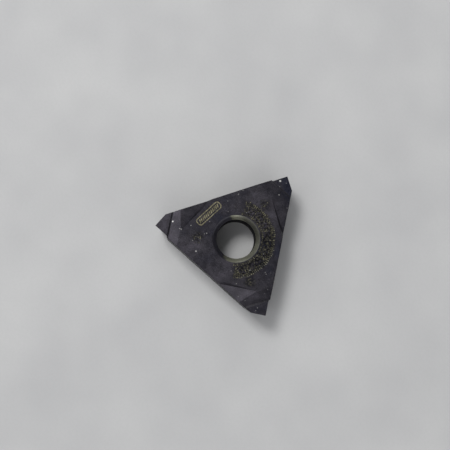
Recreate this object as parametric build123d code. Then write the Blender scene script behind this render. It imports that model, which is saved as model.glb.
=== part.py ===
from build123d import *
import os
from math import cos, radians, sin, tan

# A triangular grooving insert of cemented carbide: one flat plate with a bore through its middle
# and the same ground cutting tip on each of its three corners. Millimetres and degrees.
# The origin is the middle of the bore, +Z looks out of the cutting face and +Y runs through one
# of the corners.

# Plate
corners = 3
inscribed_circle = 12.70         # circle that touches the sides
thickness = 4.76
seat_edge_break = 0.12           # dulled edge round the seat face

# Bore
bore_diameter = 5.50
bore_chamfer = 0.60              # 45 degree lead-in at both mouths

# Cutting tip: an end flank square to one side of the plate, and a side flank along that side
end_flank_width = 2.10
side_flank_step = 0.20           # ground in from the plate's side
end_clearance = 7.0
side_clearance = 3.0
tip_length = 3.15                # from the sharp corner to the shoulder, on the bisector
tip_drop = 0.02                  # ground top of the tip, below the cutting face at the sharp corner
tip_rake = 2.0                   # fall of the tip's top towards the shoulder

# Chip groove behind the tip, straight across the corner
groove_depth = 0.30              # below the cutting face, at the foot of the shoulder
groove_length = 1.50             # from the shoulder's foot to where it has risen to the face
shoulder_angle = 50.0            # of the shoulder's wall, from the face

# Chip pocket, one pass of a wheel: a flat floor that falls away from the tip to a back wall, open
# through the side that leads away from the end flank
pocket_start = 4.05              # front end of the floor, along the side from the sharp corner
pocket_setback = 3.52            # back wall behind the end flank, at the side
pocket_skew = 4.0                # back wall, turned from square to the side flank
pocket_length = 6.20             # back wall, in from the side to where the floor has risen to the face
pocket_slope = 8.0               # floor, from the face
pocket_wall_angle = 60.0         # back wall, from the face

# In a corner's own frame +X runs outwards on its bisector, and the side that the side flank
# follows is on the +Y hand.
corner_angle = 180.0 - 360.0 / corners
sharp_corner = Vector(inscribed_circle / 2 / sin(radians(corner_angle / 2)), 0, 0)
along_side = Vector(-1, 0, 0).rotate(Axis.Z, -corner_angle / 2)      # back along the +Y side
along_other_side = Vector(-1, 0, 0).rotate(Axis.Z, corner_angle / 2)
side_normal = along_side.rotate(Axis.Z, -90)
end_setback = (end_flank_width + side_flank_step) / tan(radians(corner_angle))
up = Vector(0, 0, 1)
face_z = thickness / 2
tip_z = face_z - tip_drop
shoulder_z = tip_z - tip_length * tan(radians(tip_rake))
cutter_size = 4 * inscribed_circle


def at_height(point, z):
    """The same place at another height."""
    return Vector(point.X, point.Y, z)


def leaning(level, angle):
    """A wall's normal: level for an upright wall, turned up until the wall is at that angle."""
    return level * sin(radians(angle)) + up * cos(radians(angle))


def space_beyond(point, normal):
    """A block on the outer side of the plane through a point."""
    block = Box(cutter_size, cutter_size, cutter_size, align=(Align.CENTER, Align.CENTER, Align.MIN))
    return Plane(origin=point, z_dir=normal) * block


def plate():
    """The triangular plate, its seat edge dulled, with the chamfered bore."""
    outline = RegularPolygon(inscribed_circle / 2, corners, major_radius=False, rotation=90)
    body = Pos(0, 0, -face_z) * extrude(outline, thickness)
    body = chamfer(body.edges().group_by(Axis.Z)[0], seat_edge_break)
    body -= Cylinder(bore_diameter / 2, thickness)
    mouths = [edge for edge in body.edges() if edge.geom_type == GeomType.CIRCLE]
    return chamfer(mouths, bore_chamfer)


def tip_cutters():
    """The ground tip: its lowered top, its side flank and its end flank."""
    beyond_shoulder = space_beyond(sharp_corner - Vector(tip_length, 0, 0), Vector(1, 0, 0))
    above_tip = space_beyond(at_height(sharp_corner, tip_z), leaning(Vector(-1, 0, 0), tip_rake))
    side_edge = at_height(sharp_corner - side_normal * side_flank_step, tip_z)
    beside_tip = space_beyond(side_edge, leaning(side_normal, 90 + side_clearance))
    end_edge = at_height(sharp_corner + along_side * end_setback, tip_z)
    past_end = space_beyond(end_edge, leaning(-along_side, 90 + end_clearance))
    return [above_tip & beyond_shoulder, beside_tip & beyond_shoulder, past_end]


def groove_cutter():
    """The V between the shoulder's wall and the rise back to the cutting face."""
    shoulder_top = at_height(sharp_corner - Vector(tip_length, 0, 0), shoulder_z)
    shoulder_height = shoulder_z - (face_z - groove_depth)
    shoulder_run = shoulder_height / tan(radians(shoulder_angle))
    foot = shoulder_top - Vector(shoulder_run, 0, shoulder_height)
    behind_shoulder = space_beyond(shoulder_top, leaning(Vector(-1, 0, 0), shoulder_angle))
    above_rise = space_beyond(foot, Vector(groove_depth, 0, groove_length).normalized())
    return behind_shoulder & above_rise


def pocket_cutter():
    """The pocket: its floor meets the face along a line from the side to the back wall's inner end."""
    wall_line = side_normal.rotate(Axis.Z, -pocket_skew)
    side_distance = (end_setback + pocket_setback) / cos(radians(corner_angle))
    wall_mouth = at_height(sharp_corner + along_other_side * side_distance, face_z)
    wall_end = wall_mouth + wall_line * pocket_length
    floor_start = at_height(sharp_corner + along_other_side * pocket_start, face_z)
    floor_fall = (wall_end - floor_start).normalized().rotate(Axis.Z, 90)
    above_floor = space_beyond(wall_end, leaning(floor_fall, pocket_slope))
    before_wall = space_beyond(wall_end, leaning(wall_line.rotate(Axis.Z, -90), pocket_wall_angle))
    return above_floor & before_wall


def carbide_insert():
    """The whole insert: the plate with every corner cut alike."""
    corner_cutters = tip_cutters() + [groove_cutter(), pocket_cutter()]
    insert = plate()
    for corner in range(corners):
        turn = Rot(0, 0, 90 + 360 / corners * corner)
        for cutter in corner_cutters:
            insert -= turn * cutter
    return insert


os.makedirs("parts", exist_ok=True)
export_step(carbide_insert(), "parts/carbide_insert.step")
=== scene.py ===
import bmesh
import bpy
from math import cos, pi, radians, sin
from mathutils import Matrix, Vector


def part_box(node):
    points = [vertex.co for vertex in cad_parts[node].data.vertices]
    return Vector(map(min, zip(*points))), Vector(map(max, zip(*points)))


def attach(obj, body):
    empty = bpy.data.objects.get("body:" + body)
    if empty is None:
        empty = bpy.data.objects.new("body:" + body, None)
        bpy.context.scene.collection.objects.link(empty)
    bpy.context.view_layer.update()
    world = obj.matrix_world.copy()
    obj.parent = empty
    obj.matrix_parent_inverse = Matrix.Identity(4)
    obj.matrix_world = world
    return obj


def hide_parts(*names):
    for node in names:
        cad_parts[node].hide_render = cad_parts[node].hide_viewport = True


# A triangular grooving insert of coated cemented carbide, lying on its seat face. Lengths are in
# metres in the scene and in millimetres wherever a name ends in _mm.

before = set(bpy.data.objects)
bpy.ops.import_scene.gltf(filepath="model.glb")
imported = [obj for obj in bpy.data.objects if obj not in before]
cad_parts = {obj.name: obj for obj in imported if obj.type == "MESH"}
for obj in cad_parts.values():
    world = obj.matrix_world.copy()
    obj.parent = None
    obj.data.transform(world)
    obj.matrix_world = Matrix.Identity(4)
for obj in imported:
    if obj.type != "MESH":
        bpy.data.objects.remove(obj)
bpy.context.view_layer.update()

MM = 0.001
FACE_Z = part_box("carbide_insert")[1].z
SEAT_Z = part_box("carbide_insert")[0].z

WELD = 0.5e-6                             # corners nearer than this are one corner
JOIN_ANGLE = radians(0.4)                 # faces that turn less than this are one flat face

BORE_RADIUS_MM = 2.75
BORE_CHAMFER_MM = 0.60
BORE_STEPS = 160
BORE_FLATS_MM = 0.002                     # cut this much wider, so that its flats don't narrow the bore
HONE_MM = 0.060                           # rounded edges all round, from honing before the coat
HONE_STEPS = 3
HONED_TURN = radians(20)                  # edges that turn more than this are honed
RUN_OUT_MM = 0.8                          # past the bore's rim, above the face
RUN_OUT_ANGLE = radians(8)

# How far up a face looks, as its normal's height, tells what it is.
FLANK_BELOW = 0.35                        # flanks stand steeper than every face that looks up or down
POCKET_WALL_BETWEEN = (0.4, 0.6)          # the walls that end the chip pockets
BORE_BELOW = 0.3                          # the bore's wall, steeper than its mouths
RIM_ABOVE = 0.75                          # the rounded rims, flatter than the mouths

MARK_DEPTH_MM = 0.05                      # laser marks
MARK_DRAFT_MM = 0.04                      # bars and frame are this much wider a side at the face than below
CORNER_NUMBER_SIZE_MM = 1.40
CORNER_NUMBERS = (                        # the number, its heading, mm from the bore's middle
    ("1", 91.0, 6.25),
    ("2", 220.0, 5.40),
    ("3", 329.0, 6.25),
)

SCALE_FIRST = 112.0                       # headings of the first and the last number of the scale
SCALE_LAST = -48.0
SCALE_COUNT = 10
SCALE_NUMBER_SIZE_MM = 1.42
SCALE_RADIUS_MM = 4.36
SCALE_ROWS = (                            # radius in mm, degrees past the numbers, ticks,
                                          # their length and width in mm, seed
    (3.64, 6, 44, 0.24, 0.09, 5),
    (5.20, 4, 58, 0.42, 0.10, 3),
)

FIELD_MIDDLE_MM = (-5.22, 0.09)           # hatched field
FIELD_HEADING = 84.6
FIELD_SIZE_MM = (4.10, 1.02)
FIELD_CORNER_MM = 0.36
FIELD_LINE_MM = 0.09
FIELD_CORNER_STEPS = 5                    # faces round each corner of its frame
FIELD_BARS = 12
FIELD_PITCH_MM = 0.30
FIELD_SLANT = 62.0
FIELD_BAR_MM = (0.50, 0.11)

# Scorched speckle: where it fades in and out round the scale, beside it, and round each corner number.
SCORCH_FROM_MM = (3.42, 3.75)
SCORCH_TO_MM = (5.70, 5.20)
SCORCH_SIDE_MM = (0.2, 0.9)
SCORCH_SPOT_MM = (1.05, 0.55)
SCORCH_SPOT_STRENGTH = 0.75
SPECKLES = (                              # size in mm, noise it starts and is full at, strength, shade
    (0.26, 0.38, 0.55, 0.92, "#060608"),
    (0.21, 0.57, 0.65, 0.6, "#5d5a45"),
)

# Painted light and shade: each coat's ramp shifts along one way, lighter where the light falls and darker
# away from it. The way it goes, from and to in mm, and the shift in its ramp.
# On the plate's coats: painted light, lighter towards heading 201 on the lamp's side, darker across from it.
PLATE_LIGHT_DRIFT = ((-0.93, -0.36, 0.0), -9.0, 9.0, -0.07, 0.19)
# Round the bore's mouth: painted shade on the side towards heading 234, painted highlight across from it.
MOUTH_LIGHT_AND_SHADE = ((0.59, 0.81, 0.0), -2.0, 3.0, -0.30, 0.26)

# Dust that catches the eye: heading, mm from the bore's middle, mm across, how much of the coat it hides.
DUST_FLECKS = (
    (94.5, 10.3, 0.34, 1.0),              # on the first corner's tip
    (92.0, 9.6, 0.22, 0.5),               # along that corner's shoulder
    (87.5, 8.7, 0.24, 0.5),
    (206.5, 9.2, 0.28, 0.95),             # beside the second corner's tip
    (212.0, 7.8, 0.22, 0.45),             # at the foot of its pocket
    (205.5, 6.6, 0.20, 0.42),
    (239.0, 5.9, 0.24, 0.6),              # near the long side
)
FAINT_DUST_CELL_MM = 2.0                  # faint dust: at most one fleck in each patch of this size
FAINT_DUST_SHARE = 0.35                   # the share of the patches that have one
FAINT_DUST_MM = 0.2                       # a faint fleck's size across

ROOM_GLOW = 0.07
WALL_GLOWS = (                            # heading and elevation in degrees, narrowness, strength
    (131.0, 35.0, 7.4, 1.00),
    (215.0, 35.0, 7.4, 0.60),
    (266.0, 35.0, 7.4, 0.90),
    (311.0, 35.0, 7.4, 0.45),
    (311.0, 6.0, 12.0, 1.40),
    (6.0, 8.0, 10.0, 1.50),
)

CAMERA_MM = (1.626, -10.878, 113.620)
CAMERA_TURN = (5.7089, -2.2835, 41.6587)  # degrees about x, y and z
LENS_MM = 64.0


# ---------------------------------------------------------------- nodes and colours

def linear(hex_colour):
    """An sRGB hex colour as the linear RGBA that shader sockets take."""
    channels = [int(hex_colour[i:i + 2], 16) / 255 for i in (1, 3, 5)]
    return tuple(c / 12.92 if c <= 0.04045 else ((c + 0.055) / 1.055) ** 2.4 for c in channels) + (1.0,)


def aimed(heading, elevation=0.0):
    """A unit vector from a heading round the insert and an elevation above its face, in degrees."""
    level = cos(radians(elevation))
    return Vector((level * cos(radians(heading)), level * sin(radians(heading)), sin(radians(elevation))))


def per_mm(size_mm):
    """The texture scale that makes one feature this many millimetres across."""
    return 1.0 / (size_mm * MM)


def add_node(tree, kind, inputs=(), **settings):
    """A node with its settings, and its inputs by name or number: a socket is linked, a value is set."""
    node = tree.nodes.new(kind)
    for name, value in settings.items():
        setattr(node, name, value)
    for key, value in dict(inputs).items():
        if isinstance(value, bpy.types.NodeSocket):
            tree.links.new(value, node.inputs[key])
        else:
            node.inputs[key].default_value = value
    return node


def new_material(name):
    material = bpy.data.materials.new(name)
    material.use_nodes = True
    material.node_tree.nodes.clear()
    return material, material.node_tree


def ramp(tree, factor, stops):
    """A colour ramp from (position, hex colour) stops."""
    node = add_node(tree, "ShaderNodeValToRGB", {"Fac": factor})
    elements = node.color_ramp.elements
    while len(elements) < len(stops):
        elements.new(0.5)
    for element, (position, colour) in zip(elements, stops):
        element.position = position
        element.color = linear(colour)
    return node.outputs["Color"]


def levels(tree, value, low, high, to_low=0.0, to_high=1.0):
    """The value stretched so that low and high become to_low and to_high, held between them."""
    node = add_node(tree, "ShaderNodeMapRange", {"Value": value, "From Min": low, "From Max": high,
                                                 "To Min": to_low, "To Max": to_high})
    return node.outputs["Result"]


def mixed(tree, factor, first, second, blend="MIX"):
    node = add_node(tree, "ShaderNodeMix", data_type="RGBA", blend_type=blend)
    for key, value in ((0, factor), (6, first), (7, second)):
        if isinstance(value, bpy.types.NodeSocket):
            tree.links.new(value, node.inputs[key])
        else:
            node.inputs[key].default_value = value
    return node.outputs[2]


def calculate(tree, operation, *values):
    """The result of a math node on sockets or plain numbers."""
    return add_node(tree, "ShaderNodeMath", enumerate(values), operation=operation).outputs[0]


def measure(tree, operation, *vectors):
    """A number worked out from vectors: a length, a distance or a dot product."""
    return add_node(tree, "ShaderNodeVectorMath", enumerate(vectors), operation=operation).outputs["Value"]


def from_above(tree, place):
    """The place with its height left out."""
    return add_node(tree, "ShaderNodeMapping", {"Vector": place, "Scale": (1.0, 1.0, 0.0)}).outputs[0]


# ---------------------------------------------------------------- materials

def surface_noise(tree, place, size_mm, detail=3.0, roughness=0.55):
    node = add_node(tree, "ShaderNodeTexNoise",
                    {"Vector": place, "Scale": per_mm(size_mm), "Detail": detail, "Roughness": roughness})
    return node.outputs["Fac"]


def add_flecks(tree, place, colour):
    """Pale dust that has stuck to the upward faces: listed flecks, and faint ones scattered."""
    ragged = add_node(tree, "ShaderNodeTexNoise", {"Vector": place, "Scale": per_mm(0.25), "Detail": 2.0})
    shift = add_node(tree, "ShaderNodeVectorMath", {0: ragged.outputs["Color"], 1: (0.5, 0.5, 0.5)},
                     operation="SUBTRACT").outputs[0]
    shift = add_node(tree, "ShaderNodeVectorMath", {0: shift, "Scale": 0.16 * MM},
                     operation="SCALE").outputs[0]
    across = add_node(tree, "ShaderNodeVectorMath", {0: from_above(tree, place), 1: shift},
                      operation="ADD").outputs[0]
    patches = add_node(tree, "ShaderNodeTexVoronoi",
                       {"Vector": across, "Scale": per_mm(FAINT_DUST_CELL_MM)}, voronoi_dimensions="2D")
    draws = add_node(tree, "ShaderNodeSeparateColor", {"Color": patches.outputs["Color"]}).outputs
    chosen = calculate(tree, "LESS_THAN", draws["Red"], FAINT_DUST_SHARE)
    edge = FAINT_DUST_MM / 2 / FAINT_DUST_CELL_MM
    near = levels(tree, patches.outputs["Distance"], edge, edge / 2)
    paleness = levels(tree, draws["Green"], 0.0, 1.0, 0.2, 0.45)
    covered = calculate(tree, "MULTIPLY", calculate(tree, "MULTIPLY", near, chosen), paleness)
    for heading, radius_mm, size_mm, whiteness in DUST_FLECKS:
        gap = measure(tree, "DISTANCE", across, aimed(heading) * radius_mm * MM)
        spot = levels(tree, gap, size_mm * 0.5 * MM, size_mm * 0.25 * MM, 0.0, whiteness)
        covered = calculate(tree, "MAXIMUM", covered, spot)
    normal = add_node(tree, "ShaderNodeNewGeometry").outputs["True Normal"]
    height = add_node(tree, "ShaderNodeSeparateXYZ", {"Vector": normal}).outputs["Z"]
    upward = calculate(tree, "GREATER_THAN", height, 0.5)
    covered = calculate(tree, "MULTIPLY", covered, upward)
    return mixed(tree, covered, colour, linear("#c9c8c5"))


def add_scorch(tree, place, colour):
    """Black and olive speckle that the laser's heat leaves in the coat round the scale and the numbers."""
    flat = from_above(tree, place)
    radius = measure(tree, "LENGTH", flat)
    inside = levels(tree, radius, SCORCH_FROM_MM[0] * MM, SCORCH_FROM_MM[1] * MM)
    outside = levels(tree, radius, SCORCH_TO_MM[0] * MM, SCORCH_TO_MM[1] * MM)
    along = measure(tree, "DOT_PRODUCT", flat, aimed((SCALE_FIRST + SCALE_LAST) / 2))
    side = levels(tree, along, SCORCH_SIDE_MM[0] * MM, SCORCH_SIDE_MM[1] * MM)
    area = calculate(tree, "MULTIPLY", calculate(tree, "MULTIPLY", inside, outside), side)
    for _, heading, radius_mm in CORNER_NUMBERS:
        gap = measure(tree, "DISTANCE", flat, aimed(heading) * radius_mm * MM)
        spot = levels(tree, gap, SCORCH_SPOT_MM[0] * MM, SCORCH_SPOT_MM[1] * MM, 0.0, SCORCH_SPOT_STRENGTH)
        area = calculate(tree, "MAXIMUM", area, spot)
    for size_mm, low, high, strength, shade in SPECKLES:
        speckle = levels(tree, surface_noise(tree, place, size_mm, detail=2.0), low, high, 0.0, strength)
        colour = mixed(tree, calculate(tree, "MULTIPLY", speckle, area), colour, linear(shade))
    return colour


def nitride_coat(name, cloud_stops, painted_light, metallic, roughness, grind=False, grain=1.0, dusty=True):
    """Titanium aluminium nitride, laid on carbide from vapour: a thin hard film, violet to slate as its
    thickness changes, over the fine grain of the sintered body."""
    material, tree = new_material(name)
    place = add_node(tree, "ShaderNodeTexCoord").outputs["Object"]

    # The film's thickness drifts over millimetres; the mottling under it is a few tenths across.
    film = surface_noise(tree, place, 5.0, detail=3.0)
    # Painted light and shade: a straight shift along one way makes the coat lighter where the light falls
    # and darker away from it.
    way, start_mm, end_mm, start_shift, end_shift = painted_light
    across = measure(tree, "DOT_PRODUCT", place, way)
    shift = levels(tree, across, start_mm * MM, end_mm * MM, start_shift, end_shift)
    film = calculate(tree, "ADD", film, shift)
    mottle = surface_noise(tree, place, 0.75, detail=4.0, roughness=0.6)
    # Real grain is a few microns; it is drawn about a tenth of a millimetre across so that it shows.
    carbide_grain = surface_noise(tree, place, 0.13, detail=5.0, roughness=0.7)
    colour = ramp(tree, levels(tree, film, 0.26, 0.74), cloud_stops)
    pale = levels(tree, mottle, 0.38, 0.66, 0.0, 0.45 * grain)
    colour = mixed(tree, pale, colour, linear("#2a292e"), blend="ADD")
    bright_grain = levels(tree, carbide_grain, 0.56, 0.74, 0.0, 0.6 * grain)
    colour = mixed(tree, bright_grain, colour, linear("#4a484e"), blend="ADD")
    dark_grain = levels(tree, carbide_grain, 0.46, 0.30, 0.0, 0.75 * grain)
    colour = mixed(tree, dark_grain, colour, linear("#0b0b0e"))

    shine = levels(tree, mottle, 0.3, 0.75, roughness - 0.07, roughness + 0.09)

    if dusty:
        # Dust of the carbide's own grinding: rare pale specks, a tenth or two of a millimetre across.
        specks = add_node(tree, "ShaderNodeTexVoronoi", {"Vector": place, "Scale": per_mm(0.62)})
        rare = add_node(tree, "ShaderNodeSeparateColor", {"Color": specks.outputs["Color"]}).outputs["Red"]
        chosen = calculate(tree, "GREATER_THAN", rare, 0.83)
        near = levels(tree, specks.outputs["Distance"], 0.14, 0.07, 0.0, 0.5)
        colour = mixed(tree, calculate(tree, "MULTIPLY", near, chosen), colour, linear("#a9a8a6"))
        colour = add_scorch(tree, place, colour)
        colour = add_flecks(tree, place, colour)

    height = calculate(tree, "ADD", carbide_grain, mottle)
    if grind:
        # Wheel lines run level along every ground flank, drawn a twentieth of a millimetre apart.
        level = add_node(tree, "ShaderNodeMapping", {"Vector": place, "Scale": (0.05, 0.05, 1.0)})
        lines = surface_noise(tree, level.outputs[0], 0.06, detail=2.0)
        height = calculate(tree, "ADD", lines, height)
        colour = mixed(tree, levels(tree, lines, 0.35, 0.7, 0.0, 0.35), colour, linear("#7d7c82"),
                       blend="OVERLAY")
    relief = add_node(tree, "ShaderNodeBump", {"Height": height, "Strength": 0.35, "Distance": 0.012 * MM})
    shader = add_node(tree, "ShaderNodeBsdfPrincipled",
                      {"Base Color": colour, "Metallic": metallic, "Roughness": shine,
                       "Normal": relief.outputs["Normal"]})
    add_node(tree, "ShaderNodeOutputMaterial", {"Surface": shader.outputs["BSDF"]})
    return material


def laser_mark(name, burn_stops, glint):
    """Laser-burnt coat: the film is left thinner and oxidised, so it turns from violet to olive, and the
    melt round the spot throws up a fine rough speckle, whose bright colour is painted glints."""
    material, tree = new_material(name)
    place = add_node(tree, "ShaderNodeTexCoord").outputs["Object"]
    burn = surface_noise(tree, place, 0.30, detail=3.0, roughness=0.6)
    spatter_and_glints = surface_noise(tree, place, 0.12, detail=3.0)
    colour = ramp(tree, levels(tree, burn, 0.36, 0.64), burn_stops)
    # Painted glints: the fine speckle's bright colour.
    colour = mixed(tree, levels(tree, spatter_and_glints, 0.54, 0.70, 0.0, 0.7), colour, linear(glint))
    relief = add_node(tree, "ShaderNodeBump", {"Height": spatter_and_glints, "Strength": 0.5, "Distance": 0.01 * MM})
    shader = add_node(tree, "ShaderNodeBsdfPrincipled",
                      {"Base Color": colour, "Metallic": 0.3, "Roughness": 0.5,
                       "Normal": relief.outputs["Normal"]})
    add_node(tree, "ShaderNodeOutputMaterial", {"Surface": shader.outputs["BSDF"]})
    return material


def bench_sheet():
    """A pale matt sheet for the insert to lie on."""
    material, tree = new_material("pale matt sheet")
    place = add_node(tree, "ShaderNodeTexCoord").outputs["Object"]
    cloud = surface_noise(tree, place, 14.0, detail=2.0)
    fibre = surface_noise(tree, place, 0.35, detail=3.0)
    colour = ramp(tree, levels(tree, cloud, 0.3, 0.7), ((0.0, "#bababa"), (1.0, "#c5c5c4")))
    colour = mixed(tree, levels(tree, fibre, 0.4, 0.7, 0.0, 0.05), colour, linear("#8e8e8c"))
    shader = add_node(tree, "ShaderNodeBsdfPrincipled", {"Base Color": colour, "Roughness": 0.7})
    add_node(tree, "ShaderNodeOutputMaterial", {"Surface": shader.outputs["BSDF"]})
    return material


FACE_FILM = ((0.0, "#151724"), (0.3, "#1d1f2b"), (0.5, "#26252c"), (0.75, "#333136"), (1.0, "#46434a"))
FLANK_FILM = ((0.0, "#0e0e13"), (0.5, "#131317"), (1.0, "#19181c"))
MOUTH_FILM = ((0.0, "#34333b"), (0.08, "#3b3b3c"), (0.2, "#7b7b6a"), (0.45, "#8d8d7d"), (0.75, "#626257"),
              (1.0, "#55554c"))
# Painted shade: the bore's coat is near black, standing in for the shade down the bore.
BORE_SHADE_FILM = ((0.0, "#0b0b10"), (0.5, "#0f0e13"), (1.0, "#131216"))
# Painted shade: the honed edges and the bore's rounded rims are coloured darker than the faces, for the dark
# lines along them.
EDGE_SHADE_FILM = ((0.0, "#131217"), (0.5, "#19181d"), (1.0, "#222025"))
MARK_BURN = ((0.0, "#060608"), (0.48, "#0e0d0f"), (0.62, "#37352b"), (1.0, "#68644f"))
FIELD_BURN = ((0.0, "#4b4837"), (0.5, "#6d6850"), (1.0, "#8c866c"))

# Each coat below is given painted light and shade, lighter where the light falls.
face_coat = nitride_coat("nitride coat on the pressed face", FACE_FILM, PLATE_LIGHT_DRIFT, metallic=0.85,
                         roughness=0.54, grain=1.3)
flank_coat = nitride_coat("nitride coat on the ground flanks", FLANK_FILM, PLATE_LIGHT_DRIFT, metallic=0.85,
                          roughness=0.5, grind=True, grain=0.5)
# The mouth's coat takes painted shade on one side and a painted highlight on the other.
mouth_coat = nitride_coat("nitride coat in the bore's mouth", MOUTH_FILM, MOUTH_LIGHT_AND_SHADE, metallic=0.5,
                          roughness=0.34, grain=1.2, dusty=False)
bore_coat = nitride_coat("nitride coat down the bore, darkened as painted shade", BORE_SHADE_FILM, PLATE_LIGHT_DRIFT, metallic=0.9,
                         roughness=0.75, grain=0.7, dusty=False)
edge_coat = nitride_coat("nitride coat on honed edges, darkened as painted shade", EDGE_SHADE_FILM, PLATE_LIGHT_DRIFT, metallic=0.55,
                         roughness=0.45, dusty=False)
mark_coat = laser_mark("laser mark in nitride coat", MARK_BURN, "#8a8468")
field_coat = laser_mark("strong laser mark in nitride coat", FIELD_BURN, "#aaa48c")
MATERIALS = (face_coat, flank_coat, mouth_coat, bore_coat, edge_coat, mark_coat, field_coat)
FACE, FLANK, MOUTH, BORE, EDGE = range(5)


# ---------------------------------------------------------------- mesh helpers

def mesh_object(name, mesh):
    piece = bpy.data.objects.new(name, mesh)
    bpy.context.scene.collection.objects.link(piece)
    return piece


def from_bmesh(name, shape):
    mesh = bpy.data.meshes.new(name)
    shape.to_mesh(mesh)
    shape.free()
    return mesh_object(name, mesh)


def bake(piece):
    """The object's modifiers turned into its mesh."""
    bpy.context.view_layer.update()
    finished = piece.evaluated_get(bpy.context.evaluated_depsgraph_get())
    mesh = bpy.data.meshes.new_from_object(finished)
    piece.modifiers.clear()
    old = piece.data
    piece.data = mesh
    bpy.data.meshes.remove(old)


def combine(piece, tool, operation):
    """One exact boolean of the piece with a tool, which is used up."""
    cut = piece.modifiers.new("cut", "BOOLEAN")
    cut.operation = operation
    cut.solver = "EXACT"
    cut.material_mode = "TRANSFER"
    cut.object = tool
    bake(piece)
    bpy.data.objects.remove(tool)


def turned_tool(name, profile_mm, steps, material):
    """A closed solid of revolution about the bore's axis, from (radius, height) points, bottom to top.
    The first and last points are on the axis."""
    shape = bmesh.new()
    turns = [2 * pi * k / steps for k in range(steps)]
    rings = []
    for radius, height in profile_mm[1:-1]:
        rings.append([shape.verts.new((radius * MM * cos(turn), radius * MM * sin(turn), height * MM))
                      for turn in turns])
    for lower, upper in zip(rings, rings[1:]):
        for k in range(steps):
            shape.faces.new((lower[k], lower[(k + 1) % steps], upper[(k + 1) % steps], upper[k]))
    shape.faces.new(rings[0][::-1])
    shape.faces.new(rings[-1])
    tool = from_bmesh(name, shape)
    tool.data.materials.append(material)
    return tool


def joined_shape(mesh):
    """A mesh with its corners welded and each flat face in one piece."""
    shape = bmesh.new()
    shape.from_mesh(mesh)
    bmesh.ops.remove_doubles(shape, verts=shape.verts, dist=WELD)
    bmesh.ops.dissolve_limit(shape, angle_limit=JOIN_ANGLE, verts=shape.verts, edges=shape.edges)
    return shape


# ---------------------------------------------------------------- the insert

def bore_tool():
    """The bore with its two chamfered mouths, each run out on to its face over a small round."""
    half = FACE_Z / MM
    wall = BORE_RADIUS_MM + BORE_FLATS_MM
    centre_x = BORE_RADIUS_MM + BORE_CHAMFER_MM + HONE_MM * (2 ** 0.5 - 1)
    centre_z = half - HONE_MM
    rim = [(centre_x + HONE_MM * cos(radians(angle)), centre_z + HONE_MM * sin(radians(angle)))
           for angle in (135, 120, 105)]
    past = (rim[-1][0] + RUN_OUT_MM * cos(RUN_OUT_ANGLE), rim[-1][1] + RUN_OUT_MM * sin(RUN_OUT_ANGLE))
    upper = [(wall, half - BORE_CHAMFER_MM)] + rim + [past, (0, past[1])]
    lower = [(radius, -height) for radius, height in reversed(upper)]
    return turned_tool("bore tool", lower + upper, BORE_STEPS, mouth_coat)


def plug_tool():
    """Fills the tessellated bore, so that it can be cut again finely."""
    half = FACE_Z / MM
    radius = BORE_RADIUS_MM + BORE_CHAMFER_MM + 0.25
    return turned_tool("plug", ((0, -half), (radius, -half), (radius, half), (0, half)), 48, face_coat)


def graduation_tree():
    """Geometry Nodes: tapered bars spread along an arc, each turned to the arc, with seeded lengths."""
    tree = bpy.data.node_groups.new("graduation", "GeometryNodeTree")
    sockets = (("Radius", "NodeSocketFloat"), ("Start", "NodeSocketFloat"), ("Sweep", "NodeSocketFloat"),
               ("Count", "NodeSocketInt"), ("Width", "NodeSocketFloat"), ("Length", "NodeSocketFloat"),
               ("Depth", "NodeSocketFloat"), ("Draft", "NodeSocketFloat"), ("Seed", "NodeSocketInt"),
               ("Material", "NodeSocketMaterial"))
    for name, kind in sockets:
        tree.interface.new_socket(name, in_out="INPUT", socket_type=kind)
    tree.interface.new_socket("Geometry", in_out="OUTPUT", socket_type="NodeSocketGeometry")
    given = add_node(tree, "NodeGroupInput").outputs
    arc = add_node(tree, "GeometryNodeCurveArc",
                   {"Radius": given["Radius"], "Start Angle": given["Start"],
                    "Sweep Angle": given["Sweep"], "Resolution": 200})
    spots = add_node(tree, "GeometryNodeCurveToPoints",
                     {"Curve": arc.outputs["Curve"], "Count": given["Count"]})
    # A four-sided cone is a tapered bar: its sides are the radii times the square root of two.
    small = calculate(tree, "MULTIPLY", given["Width"], 0.5 ** 0.5)
    grown = calculate(tree, "MULTIPLY", given["Draft"], 2 ** 0.5)
    large = calculate(tree, "ADD", small, grown)
    bar = add_node(tree, "GeometryNodeMeshCone", {"Vertices": 4, "Radius Top": large, "Radius Bottom": small,
                                                  "Depth": given["Depth"]})
    square = add_node(tree, "GeometryNodeTransform", {"Geometry": bar.outputs["Mesh"],
                                                      "Rotation": (0.0, 0.0, radians(45))})
    stretch = calculate(tree, "DIVIDE", given["Length"], given["Width"])
    shortest = calculate(tree, "MULTIPLY", stretch, 0.35)
    varied = add_node(tree, "FunctionNodeRandomValue", {2: shortest, 3: stretch, "Seed": given["Seed"]},
                      data_type="FLOAT").outputs[1]
    sizes = add_node(tree, "ShaderNodeCombineXYZ", {"X": 1.0, "Y": varied, "Z": 1.0}).outputs[0]
    upright = add_node(tree, "FunctionNodeAlignRotationToVector", {"Vector": spots.outputs["Tangent"]},
                       axis="X", pivot_axis="Z")
    placed = add_node(tree, "GeometryNodeInstanceOnPoints",
                      {"Points": spots.outputs["Points"], "Instance": square.outputs["Geometry"],
                       "Rotation": upright.outputs["Rotation"], "Scale": sizes})
    solid = add_node(tree, "GeometryNodeRealizeInstances", {"Geometry": placed.outputs["Instances"]})
    dressed = add_node(tree, "GeometryNodeSetMaterial", {"Geometry": solid.outputs["Geometry"],
                                                         "Material": given["Material"]})
    add_node(tree, "NodeGroupOutput", {"Geometry": dressed.outputs["Geometry"]})
    return tree


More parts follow.
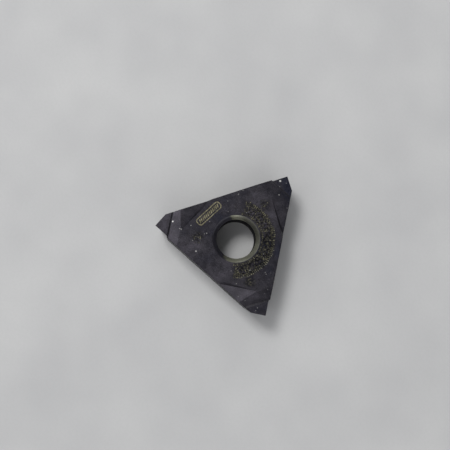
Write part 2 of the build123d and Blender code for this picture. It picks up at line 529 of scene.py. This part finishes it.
def body_of_insert():
    """The CAD solid with every edge honed round and a finely cut bore."""
    insert = from_bmesh("carbide_insert_body", joined_shape(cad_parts["carbide_insert"].data))
    for material in MATERIALS:
        insert.data.materials.append(material)
    combine(insert, plug_tool(), "UNION")
    shape = joined_shape(insert.data)
    for face in shape.faces:
        face.material_index = FLANK if abs(face.normal.z) < FLANK_BELOW else FACE
    # The wall that ends each pocket runs out to nothing, so its edges stay sharp.
    rounding = shape.edges.layers.float.new("bevel_weight_edge")
    low, high = POCKET_WALL_BETWEEN
    for edge in shape.edges:
        pocket_wall = any(low < face.normal.z < high for face in edge.link_faces)
        edge[rounding] = 1.0 if edge.calc_face_angle(0.0) > HONED_TURN and not pocket_wall else 0.0
    shape.to_mesh(insert.data)
    shape.free()
    hone = insert.modifiers.new("hone", "BEVEL")
    hone.width = HONE_MM * MM
    hone.segments = HONE_STEPS
    hone.limit_method = "WEIGHT"
    hone.material = EDGE
    bake(insert)
    combine(insert, bore_tool(), "DIFFERENCE")
    for polygon in insert.data.polygons:
        if polygon.material_index == MOUTH and abs(polygon.normal.z) < BORE_BELOW:
            polygon.material_index = BORE
        # The rims' rounds take the edge coat with its painted shade.
        elif polygon.material_index == MOUTH and abs(polygon.normal.z) > RIM_ABOVE:
            polygon.material_index = EDGE
    return insert


def number_tool(number, size_mm, heading, radius_mm):
    """A plain number as a straight-walled cutter, its top outwards."""
    curve = bpy.data.curves.new("number", "FONT")
    curve.body = number
    curve.size = size_mm
    curve.align_x = "CENTER"
    curve.align_y = "CENTER"
    curve.resolution_u = 3
    curve.extrude = MARK_DEPTH_MM
    holder = mesh_object("number", curve)
    bpy.context.view_layer.update()
    mesh = bpy.data.meshes.new_from_object(holder)
    bpy.data.objects.remove(holder)
    mesh.transform(Matrix.Translation((0, 0, FACE_Z)) @ Matrix.Rotation(radians(heading), 4, "Z")
                   @ Matrix.Translation((radius_mm * MM, 0, 0)) @ Matrix.Rotation(radians(-90), 4, "Z")
                   @ Matrix.Scale(MM, 4))
    mesh.materials.clear()
    mesh.materials.append(mark_coat)
    shape = bmesh.new()
    shape.from_mesh(mesh)
    bmesh.ops.remove_doubles(shape, verts=shape.verts, dist=0.2e-6)
    bmesh.ops.recalc_face_normals(shape, faces=shape.faces)
    for face in shape.faces:
        face.material_index = 0
    shape.to_mesh(mesh)
    shape.free()
    return mesh_object("number", mesh)


# Heights of a mark cutter's two ends about the face, and how much wider a side each end is.
CUTTER_ENDS = ((-MARK_DEPTH_MM, 0.0), (MARK_DEPTH_MM, 2 * MARK_DRAFT_MM))


def tapered_bar(shape, turn, centre_mm, heading, length_mm, width_mm):
    """A straight cutter bar that narrows as it goes down into the face."""
    along = aimed(heading)
    across = Vector((-along.y, along.x, 0))
    centre = Vector((*centre_mm, 0))
    rings = []
    for depth, grow in CUTTER_ENDS:
        a, b = length_mm / 2 + grow, width_mm / 2 + grow
        corners = [centre + along * x * a + across * y * b + Vector((0, 0, depth))
                   for x, y in ((-1, -1), (1, -1), (1, 1), (-1, 1))]
        rings.append([shape.verts.new(turn @ (corner * MM)) for corner in corners])
    low, high = rings
    shape.faces.new(low[::-1])
    shape.faces.new(high)
    for k in range(4):
        shape.faces.new((low[k], low[(k + 1) % 4], high[(k + 1) % 4], high[k]))


def rounded_outline(length_mm, width_mm, corner_mm):
    """Points round a rectangle with rounded corners, in the XY plane about its middle."""
    points = []
    for k in range(4):
        x = (length_mm / 2 - corner_mm) * (1 if k in (0, 3) else -1)
        y = (width_mm / 2 - corner_mm) * (1 if k in (0, 1) else -1)
        for step in range(FIELD_CORNER_STEPS + 1):
            angle = radians(90 * (k + step / FIELD_CORNER_STEPS))
            points.append(Vector((x + corner_mm * cos(angle), y + corner_mm * sin(angle), 0)))
    return points


def frame_bar(shape, turn, length_mm, width_mm, corner_mm, line_mm):
    """A closed line round a field, as a cutter ring that narrows as it goes down."""
    rings = []
    for depth, grow in CUTTER_ENDS:
        lift = Vector((0, 0, depth))
        for offset in (line_mm / 2 + grow, -line_mm / 2 - grow):
            outline = rounded_outline(length_mm + 2 * offset, width_mm + 2 * offset, corner_mm + offset)
            rings.append([shape.verts.new(turn @ ((point + lift) * MM)) for point in outline])
    low_out, low_in, high_out, high_in = rings
    for k in range(len(low_out)):
        n = (k + 1) % len(low_out)
        shape.faces.new((low_out[k], low_out[n], high_out[n], high_out[k]))
        shape.faces.new((low_in[n], low_in[k], high_in[k], high_in[n]))
        shape.faces.new((high_out[k], high_out[n], high_in[n], high_in[k]))
        shape.faces.new((low_out[n], low_out[k], low_in[k], low_in[n]))


def hatched_field_tool():
    """A plain hatched field beside the first pocket: a rounded frame with slanted bars inside it."""
    shape = bmesh.new()
    turn = (Matrix.Translation((FIELD_MIDDLE_MM[0] * MM, FIELD_MIDDLE_MM[1] * MM, FACE_Z))
            @ Matrix.Rotation(radians(FIELD_HEADING), 4, "Z"))
    frame_bar(shape, turn, *FIELD_SIZE_MM, FIELD_CORNER_MM, FIELD_LINE_MM)
    for k in range(FIELD_BARS):
        middle_mm = ((k - (FIELD_BARS - 1) / 2) * FIELD_PITCH_MM, 0)
        tapered_bar(shape, turn, middle_mm, FIELD_SLANT, *FIELD_BAR_MM)
    tool = from_bmesh("hatched field", shape)
    tool.data.materials.append(field_coat)
    return tool


def graduation_tool(tree, radius_mm, past, count, length_mm, width_mm, seed):
    """A row of ticks beside the scale's numbers, going this many degrees past the first and the last."""
    tool = mesh_object("graduation", bpy.data.meshes.new("graduation"))
    bars = tool.modifiers.new("bars", "NODES")
    bars.node_group = tree
    given = {"Radius": radius_mm * MM, "Start": radians(SCALE_LAST - past),
             "Sweep": radians(SCALE_FIRST - SCALE_LAST + 2 * past), "Count": count,
             "Width": width_mm * MM, "Length": length_mm * MM, "Depth": 2 * MARK_DEPTH_MM * MM,
             "Draft": 2 * MARK_DRAFT_MM * MM, "Seed": seed, "Material": mark_coat}
    for socket in tree.interface.items_tree:
        if socket.in_out == "INPUT":
            bars[socket.identifier] = given[socket.name]
    bake(tool)
    tool.data.transform(Matrix.Translation((0, 0, FACE_Z - MARK_DEPTH_MM * MM)))
    return tool


def engrave_marks(insert):
    """A number at each corner, a hatched field beside a pocket, and a numbered scale round the bore."""
    tools = [number_tool(number, CORNER_NUMBER_SIZE_MM, heading, radius_mm)
             for number, heading, radius_mm in CORNER_NUMBERS]
    for k in range(SCALE_COUNT):
        heading = SCALE_FIRST + (SCALE_LAST - SCALE_FIRST) * k / (SCALE_COUNT - 1)
        tools.append(number_tool(str(k), SCALE_NUMBER_SIZE_MM, heading, SCALE_RADIUS_MM))
    tools.append(hatched_field_tool())
    tree = graduation_tree()
    tools += [graduation_tool(tree, *row) for row in SCALE_ROWS]
    for tool in tools:
        combine(insert, tool, "DIFFERENCE")


def set_shading(insert):
    """Ground and pressed faces shade flat. The bore and the rounded edges shade round."""
    insert.data.set_sharp_from_angle(angle=radians(38))
    for polygon in insert.data.polygons:
        polygon.use_smooth = polygon.material_index in (MOUTH, BORE, EDGE)


insert = body_of_insert()
engrave_marks(insert)
set_shading(insert)
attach(insert, "root")
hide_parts("carbide_insert")


# ---------------------------------------------------------------- floor, light and camera

def floor():
    half = 0.4
    shape = bmesh.new()
    shape.faces.new([shape.verts.new((x * half, y * half, SEAT_Z)) for x, y in
                     ((-1, -1), (1, -1), (1, 1), (-1, 1))])
    sheet = from_bmesh("floor", shape)
    sheet.data.materials.append(bench_sheet())


def soft_box(name, heading, elevation, distance_mm, size_mm, watts):
    """A square lamp that faces the insert, from a heading round it and an elevation above the floor."""
    lamp = bpy.data.lights.new(name, "AREA")
    lamp.size = size_mm * MM
    lamp.energy = watts
    holder = bpy.data.objects.new(name, lamp)
    bpy.context.scene.collection.objects.link(holder)
    away = aimed(heading, elevation)
    holder.location = away * distance_mm * MM
    holder.rotation_euler = away.to_track_quat("Z", "Y").to_euler()


def room_light():
    """A plain room: even light, and broad soft glows where pale walls stand round the bench."""
    world = bpy.data.worlds.new("room")
    bpy.context.scene.world = world
    world.use_nodes = True
    tree = world.node_tree
    tree.nodes.clear()
    way = add_node(tree, "ShaderNodeTexCoord").outputs["Generated"]
    total = ROOM_GLOW
    for heading, elevation, narrowness, strength in WALL_GLOWS:
        facing = measure(tree, "DOT_PRODUCT", way, aimed(heading, elevation))
        # strength * exp(narrowness * (facing - 1)): a round glow with no edge.
        power = calculate(tree, "MULTIPLY_ADD", facing, narrowness, -narrowness)
        total = calculate(tree, "MULTIPLY_ADD", calculate(tree, "EXPONENT", power), strength, total)
    sky = add_node(tree, "ShaderNodeBackground", {"Color": linear("#f6f7fa"), "Strength": total})
    add_node(tree, "ShaderNodeOutputWorld", {"Surface": sky.outputs["Background"]})


def camera():
    lens = bpy.data.cameras.new("camera")
    lens.sensor_width = 36.0
    lens.lens = LENS_MM
    lens.clip_start = 0.005
    lens.clip_end = 10.0
    eye = bpy.data.objects.new("camera", lens)
    bpy.context.scene.collection.objects.link(eye)
    eye.location = Vector(CAMERA_MM) * MM
    eye.rotation_euler = [radians(angle) for angle in CAMERA_TURN]
    bpy.context.scene.camera = eye


floor()
soft_box("window", heading=170.5, elevation=55, distance_mm=600, size_mm=200, watts=2.05)
room_light()
camera()
bpy.context.scene.view_settings.view_transform = "Standard"
